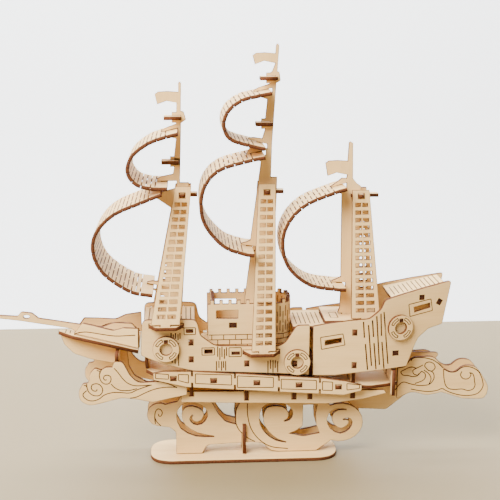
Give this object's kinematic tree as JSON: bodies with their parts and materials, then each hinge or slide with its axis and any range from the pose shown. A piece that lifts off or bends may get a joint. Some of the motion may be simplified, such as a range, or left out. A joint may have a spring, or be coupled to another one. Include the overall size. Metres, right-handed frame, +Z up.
{
  "type": "wooden sailing ship puzzle",
  "caption": "Press-fit laser-cut plywood model of a masted sailing ship with bent sails, ladder shrouds and life rings, resting on a scroll-work stand.",
  "frame": {"origin": "middle of the stand's base plate, on its underside", "axes": "+X from bow to stern along the keel, +Y to starboard, +Z up"},
  "size_m": [0.309, 0.0576, 0.2588],
  "materials": {
    "aft_side_panel_port": "bare birch plywood with laser-burnt edges",
    "aft_side_panel_starboard": "bare birch plywood with laser-burnt edges",
    "armour_strip_port": "bare birch plywood with laser-burnt edges",
    "armour_strip_starboard": "bare birch plywood with laser-burnt edges",
    "base_plate": "bare birch plywood with laser-burnt edges",
    "bow_bulkhead": "bare birch plywood with laser-burnt edges",
    "bow_bulwark_port": "bare birch plywood with laser-burnt edges",
    "bow_bulwark_starboard": "bare birch plywood with laser-burnt edges",
    "bow_deck": "bare birch plywood with laser-burnt edges",
    "bow_wave_port": "bare birch plywood with laser-burnt edges",
    "bow_wave_starboard": "bare birch plywood with laser-burnt edges",
    "bowsprit": "bare birch plywood with laser-burnt edges",
    "castle_wall": "bare birch plywood with laser-burnt edges",
    "cross_frame_1": "bare birch plywood with laser-burnt edges",
    "cross_frame_2": "bare birch plywood with laser-burnt edges",
    "cross_frame_3": "bare birch plywood with laser-burnt edges",
    "cross_frame_4": "bare birch plywood with laser-burnt edges",
    "crosstree_fore": "bare birch plywood with laser-burnt edges",
    "crosstree_main": "bare birch plywood with laser-burnt edges",
    "crosstree_mizzen": "bare birch plywood with laser-burnt edges",
    "fore_lower_sail": "bare birch plywood with laser-burnt edges",
    "fore_mast": "bare birch plywood with laser-burnt edges",
    "fore_shroud_port": "bare birch plywood with laser-burnt edges",
    "fore_shroud_starboard": "bare birch plywood with laser-burnt edges",
    "fore_side_panel_port": "bare birch plywood with laser-burnt edges",
    "fore_side_panel_starboard": "bare birch plywood with laser-burnt edges",
    "fore_upper_sail": "bare birch plywood with laser-burnt edges",
    "forecastle_deck": "bare birch plywood with laser-burnt edges",
    "hull_skirt_port": "bare birch plywood with laser-burnt edges",
    "hull_skirt_starboard": "bare birch plywood with laser-burnt edges",
    "keel_plate": "bare birch plywood with laser-burnt edges",
    "life_ring_aft_port": "bare birch plywood with laser-burnt edges",
    "life_ring_aft_starboard": "bare birch plywood with laser-burnt edges",
    "life_ring_fore_port": "bare birch plywood with laser-burnt edges",
    "life_ring_fore_starboard": "bare birch plywood with laser-burnt edges",
    "life_ring_mid_port": "bare birch plywood with laser-burnt edges",
    "life_ring_mid_starboard": "bare birch plywood with laser-burnt edges",
    "main_deck": "bare birch plywood with laser-burnt edges",
    "main_lower_sail": "bare birch plywood with laser-burnt edges",
    "main_mast": "bare birch plywood with laser-burnt edges",
    "main_shroud_port": "bare birch plywood with laser-burnt edges",
    "main_shroud_starboard": "bare birch plywood with laser-burnt edges",
    "main_upper_sail": "bare birch plywood with laser-burnt edges",
    "mizzen_mast": "bare birch plywood with laser-burnt edges",
    "mizzen_sail": "bare birch plywood with laser-burnt edges",
    "mizzen_shroud_port": "bare birch plywood with laser-burnt edges",
    "mizzen_shroud_starboard": "bare birch plywood with laser-burnt edges",
    "mizzen_step": "bare birch plywood with laser-burnt edges",
    "nest_board_fore_lower": "bare birch plywood with laser-burnt edges",
    "nest_board_fore_upper": "bare birch plywood with laser-burnt edges",
    "nest_board_main_lower": "bare birch plywood with laser-burnt edges",
    "nest_board_main_upper": "bare birch plywood with laser-burnt edges",
    "poop_deck": "bare birch plywood with laser-burnt edges",
    "quarter_deck": "bare birch plywood with laser-burnt edges",
    "stand_brace": "bare birch plywood with laser-burnt edges",
    "stand_scroll_port": "bare birch plywood with laser-burnt edges",
    "stand_scroll_starboard": "bare birch plywood with laser-burnt edges",
    "stern_wave_port": "bare birch plywood with laser-burnt edges",
    "stern_wave_starboard": "bare birch plywood with laser-burnt edges",
    "waterline_board": "bare birch plywood with laser-burnt edges"
  },
  "bodies": {
    "stand": {"base_plate": "base_plate", "stand_brace": "stand_brace", "stand_scroll_port": "stand_scroll_port", "stand_scroll_starboard": "stand_scroll_starboard"},
    "ship": {"aft_side_panel_port": "aft_side_panel_port", "aft_side_panel_starboard": "aft_side_panel_starboard", "armour_strip_port": "armour_strip_port", "armour_strip_starboard": "armour_strip_starboard", "bow_bulkhead": "bow_bulkhead", "bow_bulwark_port": "bow_bulwark_port", "bow_bulwark_starboard": "bow_bulwark_starboard", "bow_deck": "bow_deck", "bow_wave_port": "bow_wave_port", "bow_wave_starboard": "bow_wave_starboard", "bowsprit": "bowsprit", "castle_wall": "castle_wall", "cross_frame_1": "cross_frame_1", "cross_frame_2": "cross_frame_2", "cross_frame_3": "cross_frame_3", "cross_frame_4": "cross_frame_4", "crosstree_fore": "crosstree_fore", "crosstree_main": "crosstree_main", "crosstree_mizzen": "crosstree_mizzen", "fore_lower_sail": "fore_lower_sail", "fore_mast": "fore_mast", "fore_shroud_port": "fore_shroud_port", "fore_shroud_starboard": "fore_shroud_starboard", "fore_side_panel_port": "fore_side_panel_port", "fore_side_panel_starboard": "fore_side_panel_starboard", "fore_upper_sail": "fore_upper_sail", "forecastle_deck": "forecastle_deck", "hull_skirt_port": "hull_skirt_port", "hull_skirt_starboard": "hull_skirt_starboard", "keel_plate": "keel_plate", "life_ring_aft_port": "life_ring_aft_port", "life_ring_aft_starboard": "life_ring_aft_starboard", "life_ring_fore_port": "life_ring_fore_port", "life_ring_fore_starboard": "life_ring_fore_starboard", "life_ring_mid_port": "life_ring_mid_port", "life_ring_mid_starboard": "life_ring_mid_starboard", "main_deck": "main_deck", "main_lower_sail": "main_lower_sail", "main_mast": "main_mast", "main_shroud_port": "main_shroud_port", "main_shroud_starboard": "main_shroud_starboard", "main_upper_sail": "main_upper_sail", "mizzen_mast": "mizzen_mast", "mizzen_sail": "mizzen_sail", "mizzen_shroud_port": "mizzen_shroud_port", "mizzen_shroud_starboard": "mizzen_shroud_starboard", "mizzen_step": "mizzen_step", "nest_board_fore_lower": "nest_board_fore_lower", "nest_board_fore_upper": "nest_board_fore_upper", "nest_board_main_lower": "nest_board_main_lower", "nest_board_main_upper": "nest_board_main_upper", "poop_deck": "poop_deck", "quarter_deck": "quarter_deck", "stern_wave_port": "stern_wave_port", "stern_wave_starboard": "stern_wave_starboard", "waterline_board": "waterline_board"}
  },
  "joints": [
    {"name": "ship_lift", "type": "slide", "parent": "stand", "child": "ship", "axis": [0, 0, 1], "range_m": [0, 0.03]}
  ]
}
